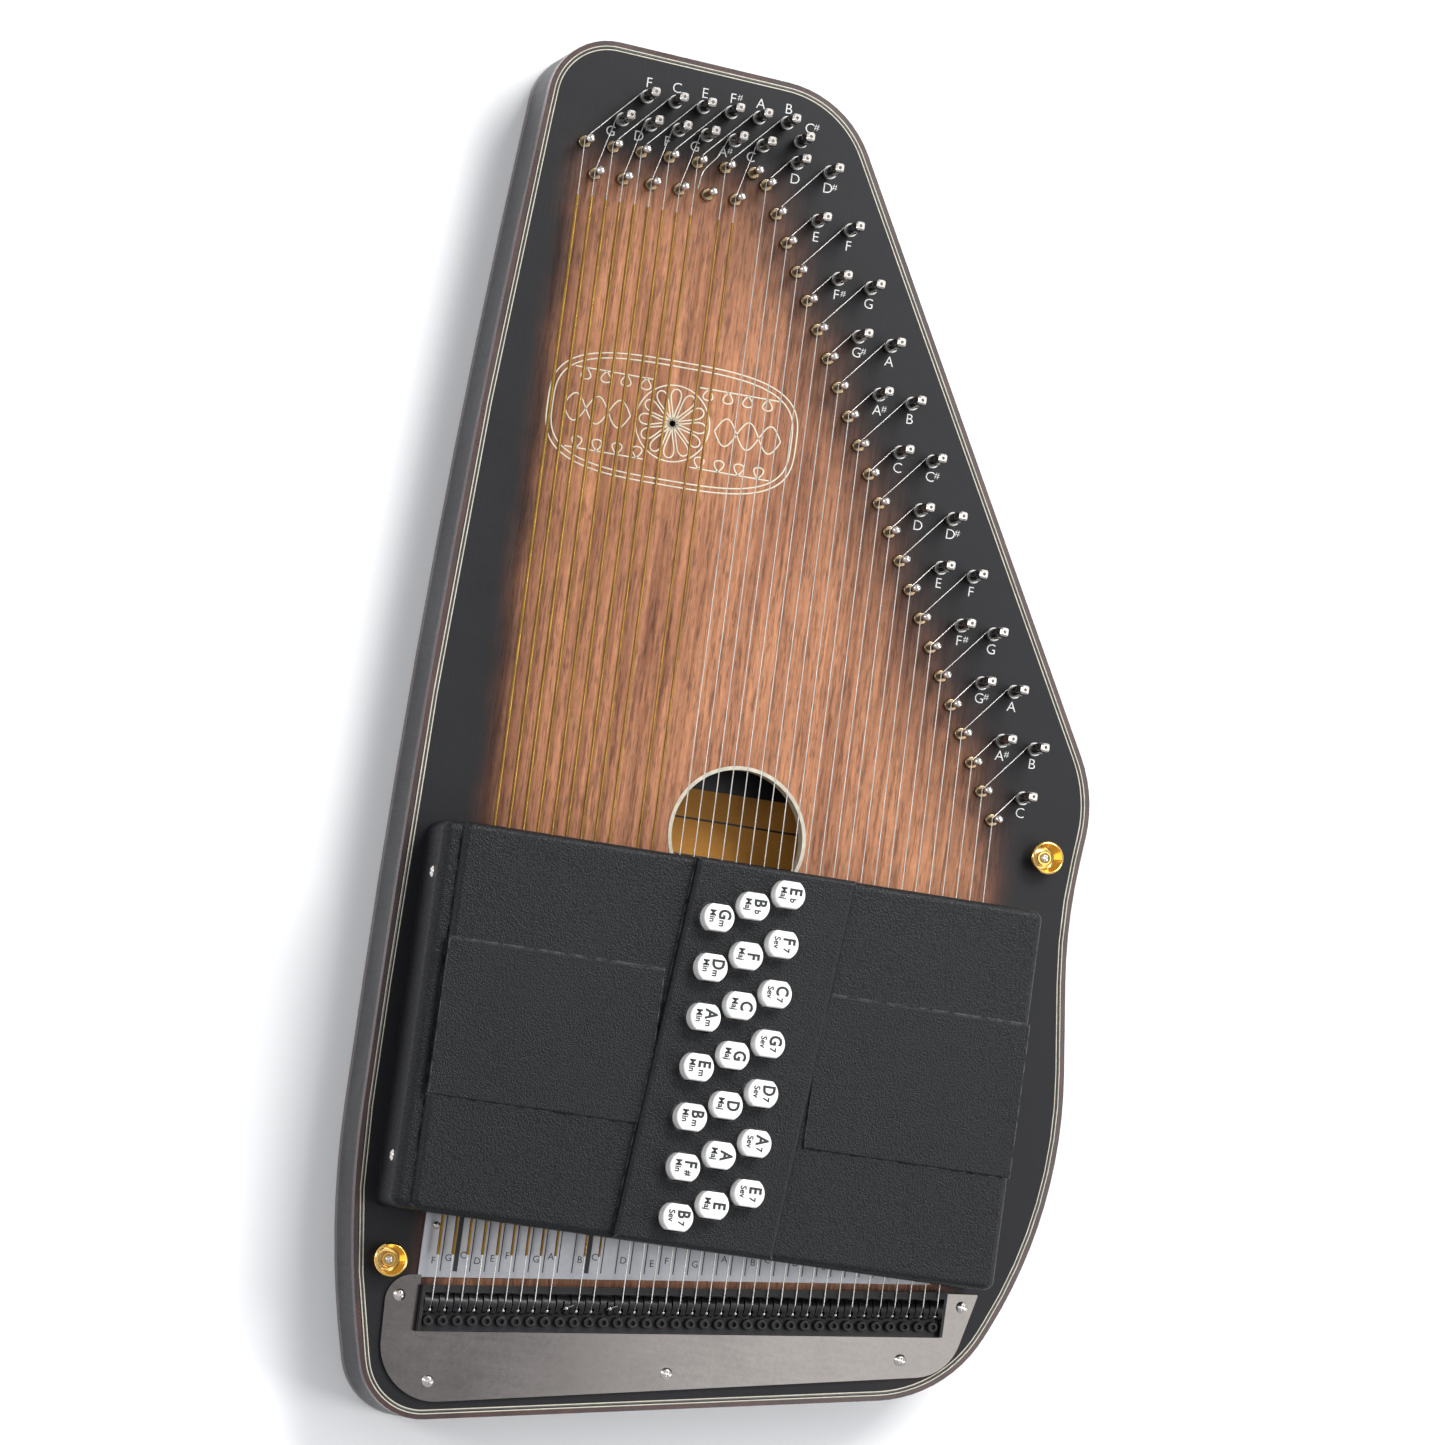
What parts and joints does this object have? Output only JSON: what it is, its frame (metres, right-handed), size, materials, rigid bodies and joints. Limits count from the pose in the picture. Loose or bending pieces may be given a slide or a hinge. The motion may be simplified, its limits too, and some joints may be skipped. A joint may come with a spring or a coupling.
{
  "type": "chorded zither",
  "caption": "Flat wooden chorded zither: steel strings over a slanted-side body, push-button chord bars under a black cover, tuning pins at the head and fine tuners at the tail.",
  "frame": {"origin": "under the middle of the body's outline, on the surface that the back lies on", "axes": "+Z out of the face, +Y along the strings towards the tuning pins, +X towards the shortest string"},
  "size_m": [0.3091, 0.5974, 0.083],
  "materials": {
    "frame_wood": "satin dark lacquer",
    "soundboard_wood": "satin lacquer, dark sunburst at the edge",
    "back_wood": "satin dark lacquer",
    "brace_wood": "raw spruce",
    "binding": "gloss brown",
    "ring_ivory": "gloss cream",
    "nickel_pins": "nickel plated",
    "nickel_guides": "nickel plated",
    "string_wire": "plain and wound wire",
    "note_aluminium": "printed brushed aluminium",
    "polished_steel": "polished stainless steel",
    "tuner_black": "black, satin",
    "cover_plastic": "grained black",
    "holder_plastic": "black, plain",
    "spring_steel": "spring steel",
    "screw_nickel": "nickel plated",
    "strap_gold": "gold plated",
    "bar_wood": "bar with dark felt pads",
    "button_white": "white with printed chord name"
  },
  "bodies": {
    "instrument": {"body_frame": "frame_wood", "soundboard": "soundboard_wood", "back_panel": "back_wood", "internal_braces": "brace_wood", "edge_binding": "binding", "soundhole_ring": "ring_ivory", "tuning_pins": "nickel_pins", "guide_pins": "nickel_guides", "strings": "string_wire", "note_plate": "note_aluminium", "tailpiece_plate": "polished_steel", "fine_tuner_housing": "tuner_black", "fine_tuners": "tuner_black", "chord_bar_cover": "cover_plastic", "bar_holders": "holder_plastic", "bar_springs": "spring_steel", "screws": "screw_nickel", "strap_buttons": "strap_gold"},
    "bar_e_flat_major": {"chord_bar_e_flat_major": "bar_wood", "button_e_flat_major": "button_white"},
    "bar_b_flat_major": {"chord_bar_b_flat_major": "bar_wood", "button_b_flat_major": "button_white"},
    "bar_g_minor": {"chord_bar_g_minor": "bar_wood", "button_g_minor": "button_white"},
    "bar_f_seventh": {"chord_bar_f_seventh": "bar_wood", "button_f_seventh": "button_white"},
    "bar_f_major": {"chord_bar_f_major": "bar_wood", "button_f_major": "button_white"},
    "bar_d_minor": {"chord_bar_d_minor": "bar_wood", "button_d_minor": "button_white"},
    "bar_c_seventh": {"chord_bar_c_seventh": "bar_wood", "button_c_seventh": "button_white"},
    "bar_c_major": {"chord_bar_c_major": "bar_wood", "button_c_major": "button_white"},
    "bar_a_minor": {"chord_bar_a_minor": "bar_wood", "button_a_minor": "button_white"},
    "bar_g_seventh": {"chord_bar_g_seventh": "bar_wood", "button_g_seventh": "button_white"},
    "bar_g_major": {"chord_bar_g_major": "bar_wood", "button_g_major": "button_white"},
    "bar_e_minor": {"chord_bar_e_minor": "bar_wood", "button_e_minor": "button_white"},
    "bar_d_seventh": {"chord_bar_d_seventh": "bar_wood", "button_d_seventh": "button_white"},
    "bar_d_major": {"chord_bar_d_major": "bar_wood", "button_d_major": "button_white"},
    "bar_b_minor": {"chord_bar_b_minor": "bar_wood", "button_b_minor": "button_white"},
    "bar_a_seventh": {"chord_bar_a_seventh": "bar_wood", "button_a_seventh": "button_white"},
    "bar_a_major": {"chord_bar_a_major": "bar_wood", "button_a_major": "button_white"},
    "bar_f_sharp_minor": {"chord_bar_f_sharp_minor": "bar_wood", "button_f_sharp_minor": "button_white"},
    "bar_e_seventh": {"chord_bar_e_seventh": "bar_wood", "button_e_seventh": "button_white"},
    "bar_e_major": {"chord_bar_e_major": "bar_wood", "button_e_major": "button_white"},
    "bar_b_seventh": {"chord_bar_b_seventh": "bar_wood", "button_b_seventh": "button_white"}
  },
  "joints": [
    {"name": "press_e_flat_major", "type": "slide", "parent": "instrument", "child": "bar_e_flat_major", "axis": [0, 0, -1], "range_m": [0, 0.003], "stiffness_N_per_m": 500, "springref_m": -0.002, "deforming": ["bar_springs"]},
    {"name": "press_b_flat_major", "type": "slide", "parent": "instrument", "child": "bar_b_flat_major", "axis": [0, 0, -1], "range_m": [0, 0.003], "stiffness_N_per_m": 500, "springref_m": -0.002, "deforming": ["bar_springs"]},
    {"name": "press_g_minor", "type": "slide", "parent": "instrument", "child": "bar_g_minor", "axis": [0, 0, -1], "range_m": [0, 0.003], "stiffness_N_per_m": 500, "springref_m": -0.002, "deforming": ["bar_springs"]},
    {"name": "press_f_seventh", "type": "slide", "parent": "instrument", "child": "bar_f_seventh", "axis": [0, 0, -1], "range_m": [0, 0.003], "stiffness_N_per_m": 500, "springref_m": -0.002, "deforming": ["bar_springs"]},
    {"name": "press_f_major", "type": "slide", "parent": "instrument", "child": "bar_f_major", "axis": [0, 0, -1], "range_m": [0, 0.003], "stiffness_N_per_m": 500, "springref_m": -0.002, "deforming": ["bar_springs"]},
    {"name": "press_d_minor", "type": "slide", "parent": "instrument", "child": "bar_d_minor", "axis": [0, 0, -1], "range_m": [0, 0.003], "stiffness_N_per_m": 500, "springref_m": -0.002, "deforming": ["bar_springs"]},
    {"name": "press_c_seventh", "type": "slide", "parent": "instrument", "child": "bar_c_seventh", "axis": [0, 0, -1], "range_m": [0, 0.003], "stiffness_N_per_m": 500, "springref_m": -0.002, "deforming": ["bar_springs"]},
    {"name": "press_c_major", "type": "slide", "parent": "instrument", "child": "bar_c_major", "axis": [0, 0, -1], "range_m": [0, 0.003], "stiffness_N_per_m": 500, "springref_m": -0.002, "deforming": ["bar_springs"]},
    {"name": "press_a_minor", "type": "slide", "parent": "instrument", "child": "bar_a_minor", "axis": [0, 0, -1], "range_m": [0, 0.003], "stiffness_N_per_m": 500, "springref_m": -0.002, "deforming": ["bar_springs"]},
    {"name": "press_g_seventh", "type": "slide", "parent": "instrument", "child": "bar_g_seventh", "axis": [0, 0, -1], "range_m": [0, 0.003], "stiffness_N_per_m": 500, "springref_m": -0.002, "deforming": ["bar_springs"]},
    {"name": "press_g_major", "type": "slide", "parent": "instrument", "child": "bar_g_major", "axis": [0, 0, -1], "range_m": [0, 0.003], "stiffness_N_per_m": 500, "springref_m": -0.002, "deforming": ["bar_springs"]},
    {"name": "press_e_minor", "type": "slide", "parent": "instrument", "child": "bar_e_minor", "axis": [0, 0, -1], "range_m": [0, 0.003], "stiffness_N_per_m": 500, "springref_m": -0.002, "deforming": ["bar_springs"]},
    {"name": "press_d_seventh", "type": "slide", "parent": "instrument", "child": "bar_d_seventh", "axis": [0, 0, -1], "range_m": [0, 0.003], "stiffness_N_per_m": 500, "springref_m": -0.002, "deforming": ["bar_springs"]},
    {"name": "press_d_major", "type": "slide", "parent": "instrument", "child": "bar_d_major", "axis": [0, 0, -1], "range_m": [0, 0.003], "stiffness_N_per_m": 500, "springref_m": -0.002, "deforming": ["bar_springs"]},
    {"name": "press_b_minor", "type": "slide", "parent": "instrument", "child": "bar_b_minor", "axis": [0, 0, -1], "range_m": [0, 0.003], "stiffness_N_per_m": 500, "springref_m": -0.002, "deforming": ["bar_springs"]},
    {"name": "press_a_seventh", "type": "slide", "parent": "instrument", "child": "bar_a_seventh", "axis": [0, 0, -1], "range_m": [0, 0.003], "stiffness_N_per_m": 500, "springref_m": -0.002, "deforming": ["bar_springs"]},
    {"name": "press_a_major", "type": "slide", "parent": "instrument", "child": "bar_a_major", "axis": [0, 0, -1], "range_m": [0, 0.003], "stiffness_N_per_m": 500, "springref_m": -0.002, "deforming": ["bar_springs"]},
    {"name": "press_f_sharp_minor", "type": "slide", "parent": "instrument", "child": "bar_f_sharp_minor", "axis": [0, 0, -1], "range_m": [0, 0.003], "stiffness_N_per_m": 500, "springref_m": -0.002, "deforming": ["bar_springs"]},
    {"name": "press_e_seventh", "type": "slide", "parent": "instrument", "child": "bar_e_seventh", "axis": [0, 0, -1], "range_m": [0, 0.003], "stiffness_N_per_m": 500, "springref_m": -0.002, "deforming": ["bar_springs"]},
    {"name": "press_e_major", "type": "slide", "parent": "instrument", "child": "bar_e_major", "axis": [0, 0, -1], "range_m": [0, 0.003], "stiffness_N_per_m": 500, "springref_m": -0.002, "deforming": ["bar_springs"]},
    {"name": "press_b_seventh", "type": "slide", "parent": "instrument", "child": "bar_b_seventh", "axis": [0, 0, -1], "range_m": [0, 0.003], "stiffness_N_per_m": 500, "springref_m": -0.002, "deforming": ["bar_springs"]}
  ]
}
